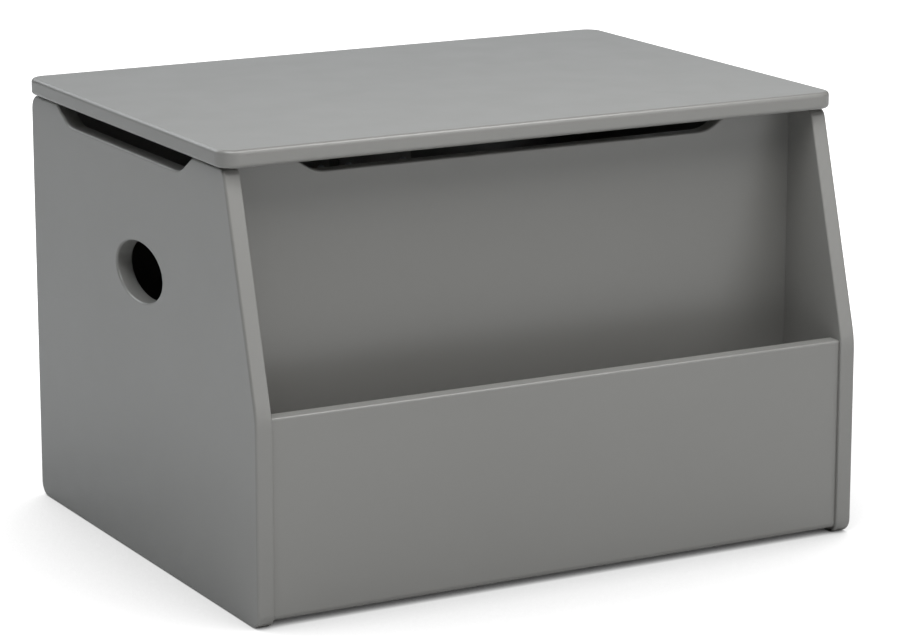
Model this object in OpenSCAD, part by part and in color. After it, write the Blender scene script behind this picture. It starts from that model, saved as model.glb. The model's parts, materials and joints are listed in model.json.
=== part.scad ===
// Painted MDF toy box: a chest with a hinged lid behind a front book bin.
// X runs left to right, Y front to back and Z up. The origin is on the floor, under the box's middle.

/* [Case] */
// Width across the two end panels
body_w = 586; // [560:1:640]
// Depth of the end panels
body_d = 464; // [450:1:500]
// Height from the floor to the lid's top
body_h = 392; // [380:1:420]
// Thickness of every board
board_t = 15; // [15:1:16]

/* [End panels] */
// Radius of the end panels' rounded corners
corner_r = 13; // [8:1:13]
// Radius of the corner under the lid's front
top_front_r = 8; // [6:1:13]
// Height where the front edge starts to lean back
knee_z = 178; // [170:1:190]
// Radius that softens the lean of the front edge
knee_r = 80; // [20:5:100]
// How far the front edge leans back by the lid
lean = 56; // [40:1:60]
// Width of the oval handle hole
handle_w = 96; // [80:1:100]
// Height of the oval handle hole
handle_h = 52; // [40:1:56]
// Height of the handle hole's middle
handle_z = 257; // [240:1:265]
// Distance of the handle hole in front of the panel's middle
handle_fwd = 3; // [0:1:10]

/* [Finger recesses] */
// Depth of the recesses under the lid
recess_h = 16.5; // [12:0.5:18]
// Length over which a recess ramps down
recess_ramp = 26; // [22:1:30]
// Radius of the curves at a recess's floor
recess_r = 30; // [20:1:45]
// Radius of the curves where a recess meets the edge
recess_lip_r = 12; // [5:1:20]
// Plain edge left at each end of a recess, up to the middle of its ramp
recess_margin = 73; // [70:1:90]

/* [Front and divider] */
// Top of the low front panel
front_top = 178; // [150:1:190]
// Gap between the floor and the front panel
front_gap = 5.5; // [4:0.5:12]
// Setback of the front panel from the end panels' edges
front_setback = 3; // [0:0.5:4]
// Depth of the book bin, from the front panel's back to the divider
bin_d = 72; // [60:1:90]
// Underside of the bottom board
bottom_z = 18; // [12:1:30]

/* [Lid] */
// Overhang of the lid past each end panel
lid_side = 5; // [3:1:8]
// Distance of the lid's front edge behind the case's front
lid_front_set = 46; // [40:1:50]
// Distance of the lid's back edge in front of the case's back
lid_back_set = 1; // [1:0.5:2]
// Radius of the lid's corners
lid_r = 16; // [10:1:20]
// Gap between the lid and the end panels
lid_gap = 1.5; // [1.5:0.1:2]

/* [Hinges] */
// Distance of each butt hinge from the middle
hinge_x = 215; // [180:1:225]
// Width of a butt hinge
hinge_w = 60; // [50:1:70]
// Distance of each lid support from the middle
support_x = 43.5; // [40:0.5:70]
// Width of a lid support's barrel
support_w = 70; // [60:1:76]
// Radius of every hinge barrel
barrel_r = 5; // [4.5:0.5:5]
// Radius of every hinge pin
pin_r = 2.5; // [2:0.25:2.5]
// Thickness of the hinge plates
leaf_t = 1.5; // [1.2:0.1:1.5]

/* [Hidden] */
$fn = 64;
eps = 0.01;

// Colours
paint = [0.56, 0.56, 0.55];
beech = [0.80, 0.66, 0.46];
zinc = [0.72, 0.73, 0.75];
nickel = [0.60, 0.60, 0.61];
acetal = [0.90, 0.90, 0.87];
clear_pad = [0.82, 0.84, 0.85];

// Levels and planes of the boards
front_y = -body_d / 2;
rear_y = body_d / 2;
inner_x = body_w / 2 - board_t;
lid_z0 = body_h - board_t;
end_top = lid_z0 - lid_gap;
front_y0 = front_y + front_setback;
divider_y0 = front_y0 + board_t + bin_d;
bottom_top = bottom_z + board_t;
lid_y0 = front_y + lid_front_set;
lid_y1 = rear_y - lid_back_set;
lid_half = body_w / 2 + lid_side;

// The lid turns about one line behind the back panel's top edge
leaf_gap = 0.5;
knuckle_gap = 0.3;
web_gap = 0.6;
axis_y = rear_y - barrel_r;
axis_z = lid_z0 - leaf_gap - barrel_r;
back_y1 = axis_y - barrel_r - knuckle_gap;
back_y0 = back_y1 - board_t;
leaf_z0 = lid_z0 - leaf_t;
back_top = leaf_z0 - leaf_gap - leaf_t;
web_y = axis_y - barrel_r - web_gap;

// Butt hinge and lid support details
hinge_knuckles = 5;
hinge_leaf_d = 38;
hinge_leaf_h = 29;
hinge_screw_pitch = 20;
hinge_screw_in = 10;
support_plate_w = 76;
support_plate_z0 = 274;
support_lid_d = 60;
support_mid_w = 40;
support_screw_x = 29;
support_screw_z = [285, 345];
support_lid_screw_x = 24;
support_lid_screw_y = [168, 190];
plate_r = 4;
sleeve_r = 4;
running_gap = 0.05;
pin_head_r = 3.6;
pin_head_t = 1.2;
pin_head_taper = 0.8;
sleeve_slit = 0.8;

// Pan-head screws
screw_r = 1.75;
screw_head_r = 3.9;
screw_head_t = 2.3;
screw_l = 12;
screw_tip_l = 2.5;
screw_hole_r = 2.1;
cross_l = 4;
cross_w = 0.8;
cross_d = 1.3;

// Cam locks: a bolt in the end panel is held by a cam near the end of the other board
cam_r = 7.5;
cam_depth = 12.5;
cam_inset = 24;
cam_play = 0.1;
cam_mouth_play = 0.3;
cam_cross_l = 8;
cam_cross_w = 1.6;
cam_cross_d = 2.6;
bolt_bore_r = 3.5;
bolt_thread_r = 2.5;
bolt_thread_l = 10.5;
bolt_tip_r = 1.2;
bolt_tip_l = 2;
bolt_collar_r = 3.3;
bolt_collar_l = 3;
bolt_head_r = 3;
bolt_head_half = 1.5;
bolt_neck_r = 2;
dowel_r = 4;
dowel_play = 0.05;
dowel_in_end = 10;
dowel_in_board = 20;
dowel_chamfer = 1;
bore_spare = 1;
front_cam_z = [46, 140];
front_dowel_z = [93];
wall_cam_z = [80, 200, 320];
wall_dowel_z = [140, 260];
bottom_cam_y = [-90, 120];
bottom_dowel_y = [-160, 15];

// Lid bumpers
bumper_r = 4;
bumper_t = lid_gap - 0.2;
bumper_taper = 0.8;
bumper_y = [-146, 203];

// ---- outlines ----

function unit(v) = v / norm(v);
function turn(a, b) = a[0] * b[1] - a[1] * b[0];

// The arc that rounds corner p, between the points before and after it, at radius r
function fillet(before, p, after, r) =
    let (
        u = unit(before - p),
        v = unit(after - p),
        half = acos(u * v) / 2,
        mid = p + unit(u + v) * r / sin(half),
        a0 = atan2(p[1] + u[1] * r / tan(half) - mid[1], p[0] + u[0] * r / tan(half) - mid[0]),
        sweep = (180 - 2 * half) * (turn(u, v) < 0 ? 1 : -1),
        steps = max(3, ceil(abs(sweep) / 9))
    )
    [for (k = [0:steps]) mid + r * [cos(a0 + sweep * k / steps), sin(a0 + sweep * k / steps)]];

// A closed outline from corners of the form [x, y, radius]
function rounded(c) =
    [for (i = [0:len(c) - 1])
        let (
            n = len(c),
            before = c[(i + n - 1) % n],
            after = c[(i + 1) % n],
            p = [c[i][0], c[i][1]]
        )
        each c[i][2] == 0 ? [p] : fillet([before[0], before[1]], p, [after[0], after[1]], c[i][2])];

function rounded_box(x0, y0, x1, y1, r) = rounded([[x0, y0, r], [x1, y0, r], [x1, y1, r], [x0, y1, r]]);

// The corners of a finger recess cut into a top edge, from its right end to its left
function recess(middle, half, top) = [
    [middle + half + recess_ramp / 2, top, recess_lip_r],
    [middle + half - recess_ramp / 2, top - recess_h, recess_r],
    [middle - half + recess_ramp / 2, top - recess_h, recess_r],
    [middle - half - recess_ramp / 2, top, recess_lip_r]
];

function ellipse(cx, cy, rx, ry) = [for (a = [0:5:355]) [cx + rx * cos(a), cy + ry * sin(a)]];

// Outlines drawn in X and Y are stood up to face along X or along Y
module facing_x(x0, t) {
    translate([x0, 0, 0])
        rotate([90, 0, 90])
            linear_extrude(t) children();
}

module facing_y(y0, t) {
    translate([0, y0 + t, 0])
        rotate([90, 0, 0])
            linear_extrude(t) children();
}

module bar_x(x0, x1, y, z, r) {
    translate([x0, y, z])
        rotate([0, 90, 0])
            cylinder(r = r, h = x1 - x0);
}

// ---- joinery holes ----

// A bore along X that starts at a board's face at x and runs towards dir (-1 or 1) for its depth
module side_bore(x, dir, y, z, r, depth) {
    x0 = dir > 0 ? x - eps : x - depth;
    bar_x(x0, x0 + depth + eps, y, z, r);
}

// Bores in an end panel for the bolts and dowels at y, z. side is -1 on the left and 1 on the right.
module end_bores(side, y, z, r) {
    side_bore(side * inner_x, side, y, z, r, dowel_in_end + bore_spare);
}

module end_panel_bores(side) {
    for (z = front_cam_z) end_bores(side, front_y0 + board_t / 2, z, bolt_thread_r);
    for (z = front_dowel_z) end_bores(side, front_y0 + board_t / 2, z, dowel_r);
    for (y = [divider_y0, back_y0]) {
        for (z = wall_cam_z) end_bores(side, y + board_t / 2, z, bolt_thread_r);
        for (z = wall_dowel_z) end_bores(side, y + board_t / 2, z, dowel_r);
    }
    for (y = bottom_cam_y) end_bores(side, y, bottom_z + board_t / 2, bolt_thread_r);
    for (y = bottom_dowel_y) end_bores(side, y, bottom_z + board_t / 2, dowel_r);
}

// Bores in both ends of a board at y, z
module board_end_bores(y, z, r, depth) {
    for (side = [-1, 1]) side_bore(side * inner_x, -side, y, z, r, depth);
}

// Cam pockets and bores of an upright board whose front face is at y0, opening at its back
module wall_board_bores(y0, cam_z, dowel_z) {
    for (z = cam_z) {
        board_end_bores(y0 + board_t / 2, z, bolt_bore_r, cam_inset);
        for (side = [-1, 1])
            translate([side * (inner_x - cam_inset), y0 + board_t + eps, z])
                rotate([90, 0, 0])
                    cylinder(r = cam_r, h = cam_depth + eps);
    }
    for (z = dowel_z) board_end_bores(y0 + board_t / 2, z, dowel_r, dowel_in_board + bore_spare);
}

// ---- boards ----

module end_outline() {
    top_mid = (rear_y + front_y + lean) / 2;
    top_half = (rear_y - front_y - lean) / 2;
    difference() {
        polygon(rounded(concat(
            [[front_y, 0, corner_r], [rear_y, 0, corner_r], [rear_y, end_top, corner_r]],
            recess(top_mid, top_half - recess_margin, end_top),
            [[front_y + lean, end_top, top_front_r], [front_y, knee_z, knee_r]]
        )));
        polygon(ellipse(-handle_fwd, handle_z, handle_w / 2, handle_h / 2));
    }
}

module end_panel(side) {
    color(paint)
        difference() {
            facing_x(side < 0 ? -body_w / 2 : inner_x, board_t) end_outline();
            end_panel_bores(side);
        }
}

module front_panel() {
    color(paint)
        difference() {
            translate([-inner_x, front_y0, front_gap])
                cube([2 * inner_x, board_t, front_top - front_gap]);
            wall_board_bores(front_y0, front_cam_z, front_dowel_z);
        }
}

module divider_panel() {
    color(paint)
        difference() {
            facing_y(divider_y0, board_t)
                polygon(rounded(concat(
                    [[-inner_x, bottom_top, 0], [inner_x, bottom_top, 0], [inner_x, end_top, 0]],
                    recess(0, inner_x - recess_margin, end_top),
                    [[-inner_x, end_top, 0]]
                )));
            wall_board_bores(divider_y0, wall_cam_z, wall_dowel_z);
        }
}

module back_panel() {
    color(paint)
        difference() {
            translate([-inner_x, back_y0, bottom_z])
                cube([2 * inner_x, board_t, back_top - bottom_z]);
            wall_board_bores(back_y0, wall_cam_z, wall_dowel_z);
            hinge_frame_screw_places() screw_bore();
            support_frame_screw_places() screw_bore();
        }
}

module bottom_panel() {
    color(paint)
        difference() {
            translate([-inner_x, front_y0 + board_t, bottom_z])
                cube([2 * inner_x, back_y0 - front_y0 - board_t, board_t]);
            for (y = bottom_cam_y) {
                board_end_bores(y, bottom_z + board_t / 2, bolt_bore_r, cam_inset);
                for (side = [-1, 1])
                    translate([side * (inner_x - cam_inset), y, bottom_z - eps])
                        cylinder(r = cam_r, h = cam_depth + eps);
            }
            for (y = bottom_dowel_y)
                board_end_bores(y, bottom_z + board_t / 2, dowel_r, dowel_in_board + bore_spare);
        }
}

module lid() {
    color(paint)
        difference() {
            translate([0, 0, lid_z0])
                linear_extrude(board_t)
                    polygon(rounded_box(-lid_half, lid_y0, lid_half, lid_y1, lid_r));
            hinge_lid_screw_places() screw_bore();
            support_lid_screw_places() screw_bore();
        }
}

// ---- joinery hardware ----

// One cam lying on its side: its face at y = 0, its body towards -Y, its mouth towards the board's end
module cam(side) {
    short = bolt_head_r + 1;
    long = cam_r + 1;
    difference() {
        rotate([90, 0, 0])
            cylinder(r = cam_r - cam_play / 2, h = cam_depth - 2 * cam_play);
        bar_x(side < 0 ? -long : -short, side < 0 ? short : long,
            cam_play - board_t / 2, 0, bolt_head_r + cam_mouth_play);
        for (a = [45, 135])
            rotate([0, a, 0])
                translate([-cam_cross_l / 2, -cam_cross_d, -cam_cross_w / 2])
                    cube([cam_cross_l, cam_cross_d + eps, cam_cross_w]);
    }
}

module wall_cams(y0, cam_z) {
    color(zinc)
        for (side = [-1, 1], z = cam_z)
            translate([side * (inner_x - cam_inset), y0 + board_t - cam_play, z])
                cam(side);
}

module bottom_panel_cams() {
    color(zinc)
        for (side = [-1, 1], y = bottom_cam_y)
            translate([side * (inner_x - cam_inset), y, bottom_z + cam_play])
                rotate([-90, 0, 0])
                    cam(side);
}

// A cam bolt on the Z axis: thread below z = 0 in the end panel, collar, neck and head above it
module cam_bolt() {
    taper = bolt_head_r - bolt_neck_r;
    head_z0 = cam_inset - bolt_head_half;
    head_z1 = cam_inset + bolt_head_half;
    rotate_extrude()
        polygon([
            [0, -bolt_thread_l], [bolt_tip_r, -bolt_thread_l], [bolt_thread_r, bolt_tip_l - bolt_thread_l],
            [bolt_thread_r, 0], [bolt_collar_r, 0], [bolt_collar_r, bolt_collar_l],
            [bolt_neck_r, bolt_collar_l + bolt_collar_r - bolt_neck_r], [bolt_neck_r, head_z0 - taper],
            [bolt_head_r, head_z0], [bolt_head_r, head_z1], [bolt_neck_r, head_z1 + taper],
            [0, head_z1 + taper]
        ]);
}

module dowel() {
    r = dowel_r - dowel_play;
    tip_r = r - dowel_chamfer;
    rotate_extrude()
        polygon([
            [0, -dowel_in_end], [tip_r, -dowel_in_end], [r, dowel_chamfer - dowel_in_end],
            [r, dowel_in_board - dowel_chamfer], [tip_r, dowel_in_board], [0, dowel_in_board]
        ]);
}

// Puts a part that points along Z at an end panel's inner face, pointing into the box
module at_end(side, y, z) {
    translate([side * inner_x, y, z])
        rotate([0, -90 * side, 0])
            children();
}

module cam_bolts(side) {
    color(zinc) {
        for (z = front_cam_z) at_end(side, front_y0 + board_t / 2, z) cam_bolt();
        for (y = [divider_y0, back_y0], z = wall_cam_z) at_end(side, y + board_t / 2, z) cam_bolt();
        for (y = bottom_cam_y) at_end(side, y, bottom_z + board_t / 2) cam_bolt();
    }
}

module dowels(side) {
    color(beech) {
        for (z = front_dowel_z) at_end(side, front_y0 + board_t / 2, z) dowel();
        for (y = [divider_y0, back_y0], z = wall_dowel_z) at_end(side, y + board_t / 2, z) dowel();
        for (y = bottom_dowel_y) at_end(side, y, bottom_z + board_t / 2) dowel();
    }
}

module lid_bumpers() {
    color(clear_pad)
        for (side = [-1, 1], y = bumper_y)
            translate([side * (inner_x + board_t / 2), y, end_top])
                cylinder(r1 = bumper_r, r2 = bumper_r - bumper_taper, h = bumper_t);
}

// ---- screws ----

// A screw on the Z axis: the head's underside at z = 0, the shank going up
module screw() {
    difference() {
        rotate_extrude()
            polygon([
                [0, -screw_head_t], [screw_head_r * 0.55, -screw_head_t],
                [screw_head_r * 0.85, -screw_head_t * 0.75], [screw_head_r, -screw_head_t * 0.35],
                [screw_head_r, 0], [screw_r, 0], [screw_r, screw_l - screw_tip_l], [0, screw_l]
            ]);
        for (a = [45, 135])
            rotate([0, 0, a])
                translate([-cross_l / 2, -cross_w / 2, -screw_head_t - eps])
                    cube([cross_l, cross_w, cross_d]);
    }
}

module screw_bore() {
    cylinder(r = screw_r, h = screw_l + leaf_t);
}

module hinge_frame_screw_places() {
    for (side = [-1, 1], k = [-1, 0, 1])
        translate([side * hinge_x + k * hinge_screw_pitch, back_y1 + leaf_t,
            axis_z - barrel_r - web_gap - hinge_leaf_h + hinge_screw_in])
            rotate([90, 0, 0])
                children();
}

module hinge_lid_screw_places() {
    for (side = [-1, 1], k = [-1, 0, 1])
        translate([side * hinge_x + k * hinge_screw_pitch, web_y - hinge_leaf_d + hinge_screw_in, leaf_z0])
            children();
}

module support_frame_screw_places() {
    for (side = [-1, 1], k = [-1, 1], z = support_screw_z)
        translate([side * support_x + k * support_screw_x, back_y0 - leaf_t, z])
            rotate([-90, 0, 0])
                children();
}

module support_lid_screw_places() {
    for (side = [-1, 1], k = [-1, 1], y = support_lid_screw_y)
        translate([side * support_x + k * support_lid_screw_x, y, leaf_z0])
            children();
}

// ---- hinges ----

// Knuckle k of a butt hinge runs over this stretch of X, about the hinge's own middle
function knuckle_x0(k) = -hinge_w / 2 + k * hinge_w / hinge_knuckles + knuckle_gap / 2;
function knuckle_l() = hinge_w / hinge_knuckles - knuckle_gap;

module hinge_frame_leaf(side) {
    top = axis_z - barrel_r - web_gap;
    color(nickel)
        difference() {
            union() {
                facing_y(back_y1, leaf_t)
                    translate([side * hinge_x, 0])
                        polygon(rounded([
                            [-hinge_w / 2, top - hinge_leaf_h, plate_r],
                            [hinge_w / 2, top - hinge_leaf_h, plate_r],
                            [hinge_w / 2, top, 0], [-hinge_w / 2, top, 0]
                        ]));
                for (k = [0:2:hinge_knuckles - 1]) {
                    translate([side * hinge_x + knuckle_x0(k), back_y1, top - eps])
                        cube([knuckle_l(), leaf_t, axis_z - top + eps]);
                    bar_x(side * hinge_x + knuckle_x0(k), side * hinge_x + knuckle_x0(k) + knuckle_l(),
                        axis_y, axis_z, barrel_r);
                }
            }
            bar_x(side * hinge_x - hinge_w, side * hinge_x + hinge_w, axis_y, axis_z, pin_r);
            hinge_frame_screw_places()
                translate([0, 0, -leaf_t])
                    cylinder(r = screw_hole_r, h = 3 * leaf_t);
        }
}

module hinge_lid_leaf(side) {
    color(nickel)
        difference() {
            union() {
                translate([side * hinge_x, 0, leaf_z0])
                    linear_extrude(leaf_t)
                        polygon(rounded([
                            [-hinge_w / 2, web_y - hinge_leaf_d, plate_r],
                            [hinge_w / 2, web_y - hinge_leaf_d, plate_r],
                            [hinge_w / 2, web_y, 0], [-hinge_w / 2, web_y, 0]
                        ]));
                for (k = [1:2:hinge_knuckles - 1]) {
                    translate([side * hinge_x + knuckle_x0(k), web_y - eps, leaf_z0])
                        cube([knuckle_l(), axis_y - web_y + eps, leaf_t]);
                    bar_x(side * hinge_x + knuckle_x0(k), side * hinge_x + knuckle_x0(k) + knuckle_l(),
                        axis_y, axis_z, barrel_r);
                }
            }
            bar_x(side * hinge_x - hinge_w, side * hinge_x + hinge_w, axis_y, axis_z, pin_r + running_gap);
            hinge_lid_screw_places()
                translate([0, 0, -leaf_t])
                    cylinder(r = screw_hole_r, h = 3 * leaf_t);
        }
}

// A pin of length l about x = middle, with a low head at each end
module hinge_pin(middle, l) {
    color(zinc) {
        bar_x(middle - l / 2, middle + l / 2, axis_y, axis_z, pin_r);
        for (side = [-1, 1])
            translate([middle + side * l / 2, axis_y, axis_z])
                rotate([0, 90 * side, 0])
                    cylinder(r1 = pin_head_r, r2 = pin_head_r - pin_head_taper, h = pin_head_t);
    }
}

// ---- lid supports ----

// The frame plate runs from the barrel over the back panel's top edge and down its inner face
module support_frame_plate(side) {
    mid = side * support_x;
    outer_y = back_y0 - leaf_t;
    color(nickel)
        difference() {
            union() {
                facing_y(outer_y, leaf_t)
                    translate([mid, 0])
                        polygon(rounded([
                            [-support_plate_w / 2, support_plate_z0, plate_r],
                            [support_plate_w / 2, support_plate_z0, plate_r],
                            [support_plate_w / 2, back_top, 0], [-support_plate_w / 2, back_top, 0]
                        ]));
                facing_x(mid - support_plate_w / 2, support_plate_w)
                    polygon(rounded([
                        [outer_y, back_top - eps, 0], [back_y0, back_top - eps, 0],
                        [back_y0, back_top, 0], [web_y, back_top, 0],
                        [web_y, back_top + leaf_t, 0], [outer_y, back_top + leaf_t, leaf_t]
                    ]));
                for (k = [-1, 1]) {
                    x0 = mid + (k < 0 ? -support_w / 2 : support_mid_w / 2);
                    l = (support_w - support_mid_w) / 2 - knuckle_gap;
                    start = x0 + (k < 0 ? 0 : knuckle_gap);
                    translate([start, web_y - eps, back_top])
                        cube([l, axis_y - web_y + eps, leaf_t]);
                    bar_x(start, start + l, axis_y, axis_z, barrel_r);
                }
            }
            bar_x(mid - support_w, mid + support_w, axis_y, axis_z, pin_r);
            support_frame_screw_places()
                translate([0, 0, -leaf_t])
                    cylinder(r = screw_hole_r, h = 3 * leaf_t);
        }
}

module support_lid_plate(side) {
    mid = side * support_x;
    x0 = mid - support_mid_w / 2;
    color(nickel)
        difference() {
            union() {
                translate([mid, 0, leaf_z0])
                    linear_extrude(leaf_t)
                        polygon(rounded([
                            [-support_w / 2, web_y - support_lid_d, plate_r],
                            [support_w / 2, web_y - support_lid_d, plate_r],
                            [support_w / 2, web_y, 0], [-support_w / 2, web_y, 0]
                        ]));
                translate([x0, web_y - eps, leaf_z0])
                    cube([support_mid_w, axis_y - web_y + eps, leaf_t]);
                bar_x(x0, x0 + support_mid_w, axis_y, axis_z, barrel_r);
            }
            bar_x(x0 - eps, x0 + support_mid_w + eps, axis_y, axis_z, sleeve_r);
            support_lid_screw_places()
                translate([0, 0, -leaf_t])
                    cylinder(r = screw_hole_r, h = 3 * leaf_t);
        }
}

// A split sleeve grips the pin inside the lid plate's knuckle and holds the lid where it is left
module support_friction_sleeve(side) {
    mid = side * support_x;
    l = support_mid_w - 2 * knuckle_gap;
    color(acetal)
        difference() {
            bar_x(mid - l / 2, mid + l / 2, axis_y, axis_z, sleeve_r);
            bar_x(mid - l, mid + l, axis_y, axis_z, pin_r + running_gap);
            translate([mid - l, axis_y - sleeve_slit / 2, axis_z])
                cube([2 * l, sleeve_slit, 2 * sleeve_r]);
        }
}

// ---- the box ----

end_panel(-1);  // left_end_panel
end_panel(1);  // right_end_panel
front_panel();
divider_panel();
back_panel();
bottom_panel();
lid();
wall_cams(front_y0, front_cam_z);  // front_panel_cams
wall_cams(divider_y0, wall_cam_z);  // divider_cams
wall_cams(back_y0, wall_cam_z);  // back_panel_cams
bottom_panel_cams();
cam_bolts(-1);  // left_cam_bolts
cam_bolts(1);  // right_cam_bolts
dowels(-1);  // left_dowels
dowels(1);  // right_dowels
lid_bumpers();
hinge_frame_leaf(-1);  // left_hinge_frame_leaf
hinge_lid_leaf(-1);  // left_hinge_lid_leaf
hinge_pin(-hinge_x, hinge_w);  // left_hinge_pin
hinge_frame_leaf(1);  // right_hinge_frame_leaf
hinge_lid_leaf(1);  // right_hinge_lid_leaf
hinge_pin(hinge_x, hinge_w);  // right_hinge_pin
support_frame_plate(-1);  // left_support_frame_plate
support_lid_plate(-1);  // left_support_lid_plate
hinge_pin(-support_x, support_w);  // left_support_pin
support_friction_sleeve(-1);  // left_support_friction_sleeve
support_frame_plate(1);  // right_support_frame_plate
support_lid_plate(1);  // right_support_lid_plate
hinge_pin(support_x, support_w);  // right_support_pin
support_friction_sleeve(1);  // right_support_friction_sleeve
color(zinc) hinge_frame_screw_places() screw();  // hinge_frame_screws
color(zinc) hinge_lid_screw_places() screw();  // hinge_lid_screws
color(zinc) support_frame_screw_places() screw();  // support_frame_screws
color(zinc) support_lid_screw_places() screw();  // support_lid_screws
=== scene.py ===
"""A grey painted toy box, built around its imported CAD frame.

The boards are remade here with rounded arrises, on the outlines and boxes that the frame gives. The
hinges, screws and joinery keep their CAD shapes and get their own finishes. Everything is in metres,
X runs left to right, Y front to back and Z up.
"""

import json
import math

import bpy
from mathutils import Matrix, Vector
from mathutils.geometry import tessellate_polygon


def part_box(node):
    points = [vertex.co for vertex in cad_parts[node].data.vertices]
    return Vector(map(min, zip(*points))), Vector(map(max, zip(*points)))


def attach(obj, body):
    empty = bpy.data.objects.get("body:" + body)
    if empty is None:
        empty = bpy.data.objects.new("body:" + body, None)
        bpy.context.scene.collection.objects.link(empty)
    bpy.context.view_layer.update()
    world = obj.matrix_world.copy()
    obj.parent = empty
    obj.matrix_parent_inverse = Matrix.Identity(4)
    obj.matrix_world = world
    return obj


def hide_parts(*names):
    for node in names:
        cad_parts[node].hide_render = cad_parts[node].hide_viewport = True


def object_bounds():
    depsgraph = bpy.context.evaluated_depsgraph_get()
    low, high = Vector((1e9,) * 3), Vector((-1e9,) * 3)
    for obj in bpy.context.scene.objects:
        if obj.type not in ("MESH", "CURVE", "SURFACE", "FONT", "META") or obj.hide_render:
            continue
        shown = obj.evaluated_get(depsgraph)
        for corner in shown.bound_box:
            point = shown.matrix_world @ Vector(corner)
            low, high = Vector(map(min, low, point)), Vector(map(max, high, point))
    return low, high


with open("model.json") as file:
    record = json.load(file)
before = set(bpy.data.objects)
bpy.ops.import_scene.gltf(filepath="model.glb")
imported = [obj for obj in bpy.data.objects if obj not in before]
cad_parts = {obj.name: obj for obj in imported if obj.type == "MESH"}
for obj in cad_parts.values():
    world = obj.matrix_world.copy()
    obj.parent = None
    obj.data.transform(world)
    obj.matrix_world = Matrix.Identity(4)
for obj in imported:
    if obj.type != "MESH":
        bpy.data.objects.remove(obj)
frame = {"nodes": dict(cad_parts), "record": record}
cad_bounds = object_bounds()

MM = 0.001
LID_ARRIS = 3.5 * MM  # radius of the lid's rounded edges
ARRIS = 2.0 * MM  # radius of the other boards' rounded edges
INNER_ARRIS = 1.2 * MM  # radius of the end boards' edges on the inside
FOOT_ARRIS = 5.0 * MM  # radius along the foot of the front board
BUTT_ARRIS = 0.4 * MM  # radius where a board's end butts against another board
BUTT_STEP = 1.2 * MM  # distance from a butt end where the arris changes its radius
ARC_STEPS = 6  # facets in a quarter round
HOLE_STEPS = 40  # facets round a blind hole
FLAT = 0.6 * MM  # strip beside a round that keeps the flat face's shading flat
CAM_HOLE_R = 7.5 * MM  # radius of the blind hole that a cam sits in
CAM_HOLE_DEPTH = 12.5 * MM  # depth of that hole
CAM_REACH = 30.0 * MM  # longer than a cam, and shorter than the distance between two
TOUCH = 0.01 * MM  # points nearer than this to a plane lie on it
KEY_DIGITS = 6  # points that agree to this many decimals are one point
SLIVER = 1e-12  # triangles with less than half this area are left out
SMOOTH_ANGLE = math.radians(35)  # faces that meet at a smaller angle shade as one


# ---- outlines taken from the frame ----


def face_loops(node, axis, side):
    """The boundary loops of a CAD node's flat face at the low (side -1) or high (side 1) end of an axis.
    Points are pairs along the next two axes. The face is always on the left of a loop."""
    mesh = frame["nodes"][node].data
    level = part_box(node)[0 if side < 0 else 1][axis]
    u, v = (axis + 1) % 3, (axis + 2) % 3
    directed = set()
    for polygon in mesh.polygons:
        points = [mesh.vertices[i].co for i in polygon.vertices]
        if all(abs(p[axis] - level) < TOUCH for p in points):
            keys = [(round(p[u], KEY_DIGITS), round(p[v], KEY_DIGITS)) for p in points]
            if side < 0:
                keys.reverse()
            directed.update(zip(keys, keys[1:] + keys[:1]))
    after = {a: b for a, b in directed if (b, a) not in directed}
    loops = []
    while after:
        start, point = next(iter(sorted(after.items())))
        loop = [start]
        del after[start]
        while point != start:
            loop.append(point)
            point = after.pop(point)
        loops.append(loop)
    return sorted(loops, key=lambda loop: -abs(loop_area(loop)))


def loop_area(loop):
    """The area inside a loop, positive when the loop runs counterclockwise."""
    return sum(a[0] * b[1] - a[1] * b[0] for a, b in zip(loop, loop[1:] + loop[:1])) / 2


def rectangle(u0, v0, u1, v1):
    """A counterclockwise rectangle."""
    return [(u0, v0), (u1, v0), (u1, v1), (u0, v1)]


def rounded_rectangle(u0, v0, u1, v1, top_r, foot_r):
    """A counterclockwise rectangle with round corners, and a short flat stretch beside each round."""
    loop = []
    top = [(u1 - top_r, v1 - top_r, top_r), (u0 + top_r, v1 - top_r, top_r)]
    foot = [(u0 + foot_r, v0 + foot_r, foot_r), (u1 - foot_r, v0 + foot_r, foot_r)]
    for corner, (u, v, r) in enumerate(top + foot):
        first = corner * math.pi / 2
        along = Vector((math.sin(first), -math.cos(first))) * FLAT
        angles = [first + k * math.pi / 2 / ARC_STEPS for k in range(ARC_STEPS + 1)]
        arc = [(u + r * math.cos(a), v + r * math.sin(a)) for a in angles]
        last = Vector((-math.cos(first), -math.sin(first))) * FLAT
        before = (arc[0][0] + along.x, arc[0][1] + along.y)
        after = (arc[-1][0] + last.x, arc[-1][1] + last.y)
        loop += [before, *arc, after]
    return loop


def circle(u, v, r):
    """A counterclockwise circle, as many short sides."""
    angles = [2 * math.pi * k / HOLE_STEPS for k in range(HOLE_STEPS)]
    return [(u + r * math.cos(a), v + r * math.sin(a)) for a in angles]


def with_butt_ends(loop, low, high):
    """Adds a point just inside each corner where the outline meets u = low or u = high,
    so that only the last stretch changes from a wide arris to a narrow one."""
    made = []
    for here, after in zip(loop, loop[1:] + loop[:1]):
        made.append(here)
        ends = [min(abs(p[0] - low), abs(p[0] - high)) < TOUCH for p in (here, after)]
        along = Vector(after) - Vector(here)
        if ends[0] != ends[1] and along.length > 3 * BUTT_STEP:
            near = Vector(here) + along.normalized() * BUTT_STEP
            far = Vector(after) - along.normalized() * BUTT_STEP
            made.append(tuple(near if ends[0] else far))
    return made


# ---- the board builder ----


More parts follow.
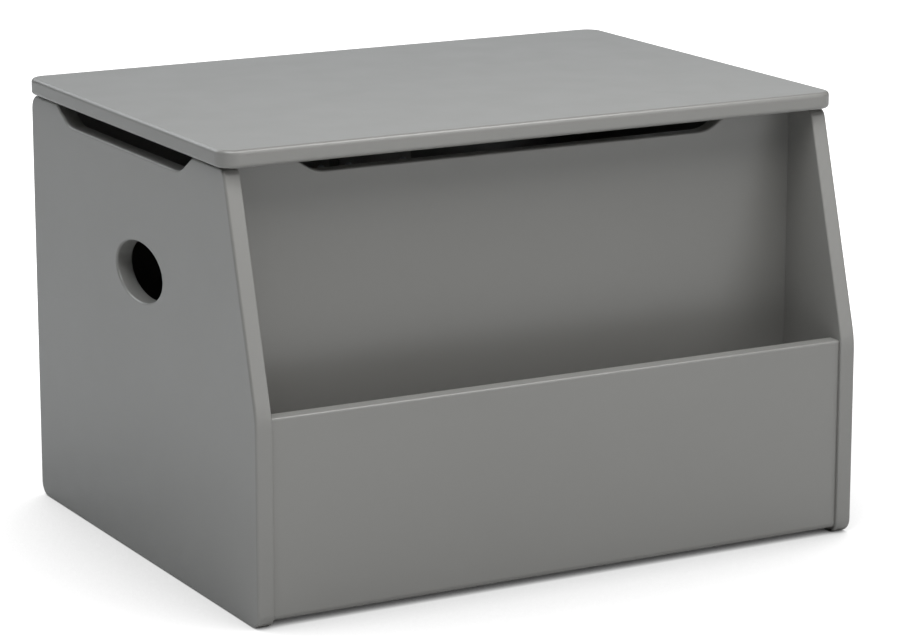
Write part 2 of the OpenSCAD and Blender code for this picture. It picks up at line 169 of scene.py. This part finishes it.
def miters(loop):
    """For each point, the move that carries both of its edges one unit to the left."""
    moves = []
    for before, here, after in zip(loop[-1:] + loop[:-1], loop, loop[1:] + loop[:1]):
        a = (Vector(here) - Vector(before)).normalized()
        b = (Vector(after) - Vector(here)).normalized()
        left_a, left_b = Vector((-a.y, a.x)), Vector((-b.y, b.x))
        moves.append((left_a + left_b) / (1 + left_a.dot(left_b)))
    return moves


def half_profile(thickness, r):
    """(inset, depth) pairs from a board's face, round its arris of radius r, towards its middle."""
    quarter = [k * math.pi / 2 / ARC_STEPS for k in range(ARC_STEPS + 1)]
    arc = [(r * (1 - math.sin(a)), r * (1 - math.cos(a))) for a in quarter]
    return [(r + FLAT, 0), *arc, (0, min(r + FLAT, thickness / 2 - FLAT))]


def edge_profile(thickness, low_r, high_r):
    """(inset, depth) pairs round a board's edge, from its low face to its high face."""
    high_half = reversed(half_profile(thickness, high_r))
    return half_profile(thickness, low_r) + [(inset, thickness - depth) for inset, depth in high_half]


class Board:
    """A flat board whose thickness runs along one axis, from low to high."""

    def __init__(self, axis, low, high):
        self.axis, self.low, self.high = axis, low, high
        self.verts, self.faces = [], []
        self.caps = {"low": [], "high": []}

    def add(self, u, v, depth):
        """Adds a point at a depth above the low face, and returns its index."""
        point = [0.0, 0.0, 0.0]
        point[(self.axis + 1) % 3], point[(self.axis + 2) % 3] = u, v
        point[self.axis] = self.low + depth
        self.verts.append(point)
        return len(self.verts) - 1

    def edge(self, loop, radii_at):
        """Runs a rounded edge round an outline or a hole. At a point, radii_at gives the radii of
        the arrises on the low and the high face."""
        thickness = self.high - self.low
        columns = []
        for (u, v), move in zip(loop, miters(loop)):
            profile = edge_profile(thickness, *radii_at(u, v))
            column = [self.add(u + move.x * inset, v + move.y * inset, depth) for inset, depth in profile]
            columns.append(column)
        for here, after in zip(columns, columns[1:] + columns[:1]):
            for k in range(len(here) - 1):
                self.faces.append((here[k], after[k], after[k + 1], here[k + 1]))
        self.caps["low"].append([column[0] for column in columns])
        self.caps["high"].append([column[-1] for column in columns])

    def pocket(self, u, v, face):
        """Sinks a cam's round blind hole into the low or high face."""
        thickness = self.high - self.low
        mouth, floor = (0, CAM_HOLE_DEPTH) if face == "low" else (thickness, thickness - CAM_HOLE_DEPTH)
        loop = circle(u, v, CAM_HOLE_R)
        loop.reverse()
        rim = [self.add(*p, mouth) for p in loop]
        bottom = [self.add(*p, floor) for p in loop]
        for k in range(len(loop)):
            after = (k + 1) % len(loop)
            wall = (rim[k], rim[after], bottom[after], bottom[k])
            self.faces.append(wall if face == "low" else wall[::-1])
        self.faces.append(tuple(bottom) if face == "low" else tuple(reversed(bottom)))
        self.caps[face].append(rim)

    def cap(self, face):
        """Fills the low or high face between its outline and its holes."""
        loops = self.caps[face]
        flat = [i for loop in loops for i in loop]
        u, v = (self.axis + 1) % 3, (self.axis + 2) % 3
        level_loops = [[(self.verts[i][u], self.verts[i][v], 0) for i in loop] for loop in loops]
        for a, b, c in tessellate_polygon(level_loops):
            tri = [flat[a], flat[b], flat[c]]
            p, q, s = (self.verts[i] for i in tri)
            area = (q[u] - p[u]) * (s[v] - p[v]) - (q[v] - p[v]) * (s[u] - p[u])
            if abs(area) < SLIVER:
                continue
            up = face == "high"
            self.faces.append(tuple(tri if (area > 0) == up else tri[::-1]))

    def build(self, name):
        self.cap("low")
        self.cap("high")
        return mesh_object(name, self.verts, self.faces)


def mesh_object(name, verts, faces):
    """A mesh in the scene, smooth over its rounds and crisp at its corners."""
    mesh = bpy.data.meshes.new(name)
    mesh.from_pydata(verts, [], faces)
    mesh.validate()
    mesh.shade_smooth()
    mesh.set_sharp_from_angle(angle=SMOOTH_ANGLE)
    obj = bpy.data.objects.new(name, mesh)
    bpy.context.scene.collection.objects.link(obj)
    return obj


# ---- materials ----

NOISE_LOW, NOISE_HIGH = 0.3, 0.7  # nearly all of a noise texture's values lie between these


class Nodes:
    """A material's node tree, with short calls to add and join nodes. Scales are per metre."""

    def __init__(self, name, **sockets):
        self.material = bpy.data.materials.new(name)
        self.material.use_nodes = True
        self.tree = self.material.node_tree
        self.shader = self.tree.nodes["Principled BSDF"]
        for socket, value in sockets.items():
            self.shader.inputs[socket.replace("_", " ")].default_value = value
        self.coordinates = self.tree.nodes.new("ShaderNodeTexCoord").outputs["Object"]

    def join(self, source, target):
        self.tree.links.new(source, target)

    def stretched(self, x, y, z):
        node = self.tree.nodes.new("ShaderNodeMapping")
        node.inputs["Scale"].default_value = (x, y, z)
        self.join(self.coordinates, node.inputs["Vector"])
        return node.outputs["Vector"]

    def noise(self, scale, detail=2.0, along=None, distortion=0.0):
        node = self.tree.nodes.new("ShaderNodeTexNoise")
        node.inputs["Scale"].default_value = scale
        node.inputs["Detail"].default_value = detail
        node.inputs["Distortion"].default_value = distortion
        self.join(along or self.coordinates, node.inputs["Vector"])
        return node.outputs["Fac"]

    def spots(self, scale):
        node = self.tree.nodes.new("ShaderNodeTexVoronoi")
        node.inputs["Scale"].default_value = scale
        self.join(self.coordinates, node.inputs["Vector"])
        return node.outputs["Distance"]

    def spread(self, source, low, high):
        """Stretches the middle of a noise's range over low to high."""
        node = self.tree.nodes.new("ShaderNodeMapRange")
        node.inputs["From Min"].default_value = NOISE_LOW
        node.inputs["From Max"].default_value = NOISE_HIGH
        node.inputs["To Min"].default_value = low
        node.inputs["To Max"].default_value = high
        self.join(source, node.inputs["Value"])
        return node.outputs["Result"]

    def colour(self, source, stops):
        """Colours the surface by (position, colour) stops along a value."""
        node = self.tree.nodes.new("ShaderNodeValToRGB")
        points = node.color_ramp.elements
        points[0].position, points[0].color = stops[0][0], (*stops[0][1], 1)
        points[1].position, points[1].color = stops[-1][0], (*stops[-1][1], 1)
        for position, colour in stops[1:-1]:
            points.new(position).color = (*colour, 1)
        self.join(source, node.inputs["Fac"])
        self.join(node.outputs["Color"], self.shader.inputs["Base Color"])

    def tones(self, source, dark, pale):
        """Colours the surface between two tones, by a noise."""
        self.colour(source, [(NOISE_LOW, dark), (NOISE_HIGH, pale)])

    def roughness(self, source, low, high):
        self.join(self.spread(source, low, high), self.shader.inputs["Roughness"])

    def bump(self, layers):
        """Stacks (height, strength, distance) layers of bump."""
        normal = None
        for height, strength, distance in layers:
            node = self.tree.nodes.new("ShaderNodeBump")
            node.inputs["Strength"].default_value = strength
            node.inputs["Distance"].default_value = distance
            self.join(height, node.inputs["Height"])
            if normal:
                self.join(normal, node.inputs["Normal"])
            normal = node.outputs["Normal"]
        self.join(normal, self.shader.inputs["Normal"])


def painted_board():
    """Sprayed satin paint on fine board: a faint orange peel, and tone that drifts a little."""
    n = Nodes("satin_grey_paint", Specular_IOR_Level=0.5)
    n.tones(n.noise(5, detail=3), (0.210, 0.2065, 0.195), (0.216, 0.2125, 0.201))
    n.roughness(n.noise(25, detail=3), 0.28, 0.31)
    n.bump([(n.noise(420, detail=2), 0.05, 0.03 * MM), (n.noise(2600, detail=1), 0.08, 0.01 * MM)])
    return n.material


def beech():
    """Bare turned wood with its grain along X."""
    n = Nodes("bare_beech")
    grain = n.noise(160, detail=5, along=n.stretched(0.08, 1, 1), distortion=0.6)
    n.colour(grain, [(0.3, (0.42, 0.26, 0.13)), (0.55, (0.58, 0.40, 0.22)), (0.75, (0.66, 0.48, 0.28))])
    n.roughness(grain, 0.55, 0.75)
    n.bump([(grain, 0.3, 0.1 * MM)])
    return n.material


def nickel_plate():
    """Pressed steel with a dull nickel plate, drawn along X."""
    n = Nodes("dull_nickel_plate", Metallic=1.0)
    drawn = n.noise(900, detail=4, along=n.stretched(0.06, 1, 1))
    n.tones(n.noise(60, detail=3), (0.42, 0.41, 0.395), (0.50, 0.49, 0.475))
    n.roughness(drawn, 0.29, 0.42)
    n.bump([(drawn, 0.15, 0.02 * MM)])
    return n.material


def zinc_plate():
    """Bright zinc with its faint spangle and a slightly grained cast skin."""
    n = Nodes("bright_zinc_plate", Metallic=1.0)
    n.colour(n.spots(420), [(0.0, (0.52, 0.54, 0.57)), (0.6, (0.68, 0.70, 0.72))])
    n.roughness(n.noise(500, detail=4), 0.29, 0.48)
    n.bump([(n.noise(1800, detail=3), 0.2, 0.02 * MM)])
    return n.material


def acetal():
    """White moulded plastic with a faint mould grain."""
    n = Nodes("natural_acetal", Specular_IOR_Level=0.45)
    n.tones(n.noise(120, detail=2), (0.74, 0.73, 0.68), (0.80, 0.79, 0.75))
    n.roughness(n.noise(700, detail=3), 0.34, 0.5)
    n.bump([(n.noise(2200, detail=2), 0.1, 0.01 * MM)])
    return n.material


def soft_pad():
    """A milky, slightly matt bumper."""
    n = Nodes("milky_soft_pad", Specular_IOR_Level=0.4)
    n.tones(n.noise(300, detail=2), (0.50, 0.52, 0.53), (0.58, 0.60, 0.61))
    n.roughness(n.noise(900, detail=3), 0.45, 0.65)
    n.bump([(n.noise(3000, detail=2), 0.15, 0.01 * MM)])
    return n.material


# ---- the boards ----


def add_board(node, board, paint, name):
    """Puts a finished board in the place of its CAD node."""
    obj = board.build(name)
    obj.data.materials.append(paint)
    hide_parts(node)
    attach(obj, "lid" if node == "lid" else "case")


def even(radius):
    """The same arris everywhere, on both faces."""
    return lambda u, v: (radius, radius)


def cam_places(node):
    """The centre of each cam in a CAD node."""
    cams = []
    for vertex in frame["nodes"][node].data.vertices:
        cam = next((points for points in cams if (points[0] - vertex.co).length < CAM_REACH), None)
        if cam is None:
            cams.append([vertex.co])
        else:
            cam.append(vertex.co)
    return [(Vector(map(min, *points)) + Vector(map(max, *points))) / 2 for points in cams]


def end_panel(side, paint):
    """An end board is a little rounder outside than inside."""
    node = "left_end_panel" if side < 0 else "right_end_panel"
    low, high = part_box(node)
    board = Board(0, low.x, high.x)
    radii = (ARRIS, INNER_ARRIS) if side < 0 else (INNER_ARRIS, ARRIS)
    for loop in face_loops(node, 0, side):
        board.edge(loop, lambda y, z: radii)
    add_board(node, board, paint, node.replace("panel", "board"))


def front_panel(paint):
    """The low front board has rounded long edges and square ends."""
    low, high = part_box("front_panel")
    board = Board(0, low.x, high.x)
    board.edge(rounded_rectangle(low.y, low.z, high.y, high.z, ARRIS, FOOT_ARRIS), even(BUTT_ARRIS))
    add_board("front_panel", board, paint, "front_board")


def wall_radii(low, high):
    """The arris of an upright board: round along its top edge, and nearly square at its ends and foot."""
    middle = (low.z + high.z) / 2

    def radii(z, x):
        at_end = min(abs(x - low.x), abs(x - high.x)) < TOUCH
        radius = ARRIS if z > middle and not at_end else BUTT_ARRIS
        return radius, radius

    return radii


def wall_cam_holes(board, cams):
    """Sinks an upright board's cam holes into its back."""
    for place in cam_places(cams):
        board.pocket(place.z, place.x, "high")


def divider(paint):
    """The upright board between the book bin and the chest, with a finger recess in its top edge."""
    low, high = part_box("divider_panel")
    board = Board(1, low.y, high.y)
    outline = [(x, z) for z, x in face_loops("divider_panel", 1, -1)[0]]
    outline = with_butt_ends(outline, low.x, high.x)
    board.edge([(z, x) for x, z in outline], wall_radii(low, high))
    wall_cam_holes(board, "divider_cams")
    add_board("divider_panel", board, paint, "divider_board")


def back_panel(paint):
    """The chest's back, with nearly square edges all round."""
    low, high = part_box("back_panel")
    board = Board(1, low.y, high.y)
    outline = with_butt_ends(rectangle(low.x, low.z, high.x, high.z), low.x, high.x)
    board.edge([(z, x) for x, z in reversed(outline)], even(BUTT_ARRIS))
    wall_cam_holes(board, "back_panel_cams")
    add_board("back_panel", board, paint, "back_board")


def bottom_panel(paint):
    """The floor of the chest and the bin, with its cam holes underneath."""
    low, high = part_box("bottom_panel")
    board = Board(2, low.z, high.z)
    board.edge(rectangle(low.x, low.y, high.x, high.y), even(BUTT_ARRIS))
    for place in cam_places("bottom_panel_cams"):
        board.pocket(place.x, place.y, "low")
    add_board("bottom_panel", board, paint, "bottom_board")


def lid(paint):
    """One flat board, rounded the same on every edge."""
    low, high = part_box("lid")
    board = Board(2, low.z, high.z)
    board.edge(face_loops("lid", 2, 1)[0], even(LID_ARRIS))
    add_board("lid", board, paint, "lid_board")


# ---- the hardware ----


def finish_hardware():
    """Gives every CAD node that stays as it is the finish of its slot."""
    finishes = {
        "beech": beech(),
        "hinge_steel": nickel_plate(),
        "zinc_hardware": zinc_plate(),
        "acetal": acetal(),
        "clear_rubber": soft_pad(),
    }
    for row in frame["record"]["subparts"]:
        if row["material_slot"] not in finishes:
            continue
        for slot in frame["nodes"][row["node"]].material_slots:
            slot.link = "OBJECT"
            slot.material = finishes[row["material_slot"]]


# ---- the stage ----

FLOOR_HALF = 30  # half the floor's width, in metres
# Near the box, the floor's bounce colour is darkened by painted shade from ambient occlusion.
FLOOR_BOUNCE = 0.95  # the share of light the floor throws back onto the box
FLOOR_SEEN = 1.5  # the open floor's brightness, as the camera sees it: past white
# The soft shadow round the box is painted from ambient occlusion, not cast by the lamps.
SHADOW_REACH = 0.6  # how far up the box counts in the soft shadow round it, in metres
WHITE = (1.0, 1.0, 1.0)
COOL = (0.965, 1.0, 1.035)
# Wide, far lights: name, azimuth, elevation and breadth in degrees, strength, colour
FAR_LIGHTS = [
    ("left_high", -60, 70, 32, 1.4, COOL),
    ("back_left", -150, 30, 32, 0.75, COOL),
    ("back", 180, 30, 32, 0.35, COOL),
    ("back_right", 150, 10, 32, 0.15, COOL),
    ("right_low", 30, 10, 32, 0.45, WHITE),
    ("glint", 63, 58, 9, 0.4, WHITE),
]
# Square soft boxes: name, azimuth and elevation in degrees, distance and width in metres, watts
SOFTBOXES = [
    ("left_box", -30, 55, 1.2, 0.7, 4.6),
    ("right_box", 30, 55, 1.2, 0.7, 6.0),
]
# The camera: where it stands from its target, in degrees and metres, and its lens
VIEW_AZIMUTH = -28.6
VIEW_ELEVATION = 13.5
VIEW_DISTANCE = 3.221
VIEW_TARGET = Vector((0.012, 0, 0.1775))
LENS_MM = 142.9
SENSOR_MM = 36


def direction(azimuth, elevation):
    """The way from the box to a light or the camera. Azimuth 0 is in front, and 90 is to the right."""
    a, e = math.radians(azimuth), math.radians(elevation)
    return Vector((math.sin(a) * math.cos(e), -math.cos(a) * math.cos(e), math.sin(e)))


def floor():
    """A pale floor, burnt out to white, with a painted soft shadow round the box: near the box, ambient
    occlusion darkens both the glow the camera sees and the colour of the light the floor throws back.
    """
    outline = rectangle(-FLOOR_HALF, -FLOOR_HALF, FLOOR_HALF, FLOOR_HALF)
    obj = mesh_object("floor", [(x, y, 0) for x, y in outline], [(0, 1, 2, 3)])
    material = bpy.data.materials.new("pale_floor_with_painted_shadow")
    material.use_nodes = True
    tree = material.node_tree
    tree.nodes.remove(tree.nodes["Principled BSDF"])
    # Ambient occlusion from the box paints a soft contact shadow into the floor's colours.
    painted_contact_shade = tree.nodes.new("ShaderNodeAmbientOcclusion")
    painted_contact_shade.inputs["Distance"].default_value = SHADOW_REACH
    painted_contact_shade.inputs["Color"].default_value = (FLOOR_BOUNCE, FLOOR_BOUNCE, FLOOR_BOUNCE, 1)
    # The floor's colour for the light it throws back, darkened near the box as painted shade.
    matt_with_painted_shade = tree.nodes.new("ShaderNodeBsdfDiffuse")
    tree.links.new(painted_contact_shade.outputs["Color"], matt_with_painted_shade.inputs["Color"])
    # What the camera sees: a glow past white, darkened near the box as a painted shadow.
    glow_with_painted_shadow = tree.nodes.new("ShaderNodeEmission")
    tree.links.new(painted_contact_shade.outputs["AO"], glow_with_painted_shadow.inputs["Color"])
    glow_with_painted_shadow.inputs["Strength"].default_value = FLOOR_SEEN
    path = tree.nodes.new("ShaderNodeLightPath")
    pick = tree.nodes.new("ShaderNodeMixShader")
    tree.links.new(path.outputs["Is Camera Ray"], pick.inputs["Fac"])
    tree.links.new(matt_with_painted_shade.outputs["BSDF"], pick.inputs[1])
    tree.links.new(glow_with_painted_shadow.outputs["Emission"], pick.inputs[2])
    tree.links.new(pick.outputs["Shader"], tree.nodes["Material Output"].inputs["Surface"])
    obj.data.materials.append(material)


def light(name, kind, back, place, colour):
    """A light that the camera doesn't see, shining away from the direction back."""
    data = bpy.data.lights.new(name, kind)
    data.color = colour
    obj = bpy.data.objects.new(name, data)
    obj.location = place
    obj.rotation_mode = "QUATERNION"
    obj.rotation_quaternion = back.to_track_quat("Z", "Y")
    obj.visible_camera = False
    bpy.context.scene.collection.objects.link(obj)
    return data


def lights():
    """Wide lights all round, and two soft boxes over the front, aimed at the middle of the box."""
    middle = (Vector(cad_bounds[0]) + Vector(cad_bounds[1])) / 2
    for name, azimuth, elevation, breadth, strength, colour in FAR_LIGHTS:
        back = direction(azimuth, elevation)
        data = light(name, "SUN", back, middle + back, colour)
        data.angle = math.radians(breadth)
        data.energy = strength
    for name, azimuth, elevation, distance, width, watts in SOFTBOXES:
        back = direction(azimuth, elevation)
        data = light(name, "AREA", back, middle + back * distance, WHITE)
        data.shape = "SQUARE"
        data.size = width
        data.energy = watts


def surroundings():
    """A backdrop that shows white and gives no light."""
    world = bpy.data.worlds.new("studio")
    world.use_nodes = True
    tree = world.node_tree
    background = tree.nodes["Background"]
    background.inputs["Color"].default_value = (1, 1, 1, 1)
    path = tree.nodes.new("ShaderNodeLightPath")
    tree.links.new(path.outputs["Is Camera Ray"], background.inputs["Strength"])
    bpy.context.scene.world = world


def camera():
    """A long lens a little above and to the left of the box's front."""
    data = bpy.data.cameras.new("camera")
    data.sensor_width = SENSOR_MM
    data.lens = LENS_MM
    data.clip_end = 2 * FLOOR_HALF
    obj = bpy.data.objects.new("camera", data)
    back = direction(VIEW_AZIMUTH, VIEW_ELEVATION)
    obj.location = VIEW_TARGET + back * VIEW_DISTANCE
    obj.rotation_mode = "QUATERNION"
    obj.rotation_quaternion = back.to_track_quat("Z", "Y")
    bpy.context.scene.collection.objects.link(obj)
    bpy.context.scene.camera = obj


# ---- the box ----

paint = painted_board()
end_panel(-1, paint)
end_panel(1, paint)
front_panel(paint)
divider(paint)
back_panel(paint)
bottom_panel(paint)
lid(paint)
finish_hardware()
floor()
lights()
surroundings()
camera()
bpy.context.scene.view_settings.view_transform = "Standard"
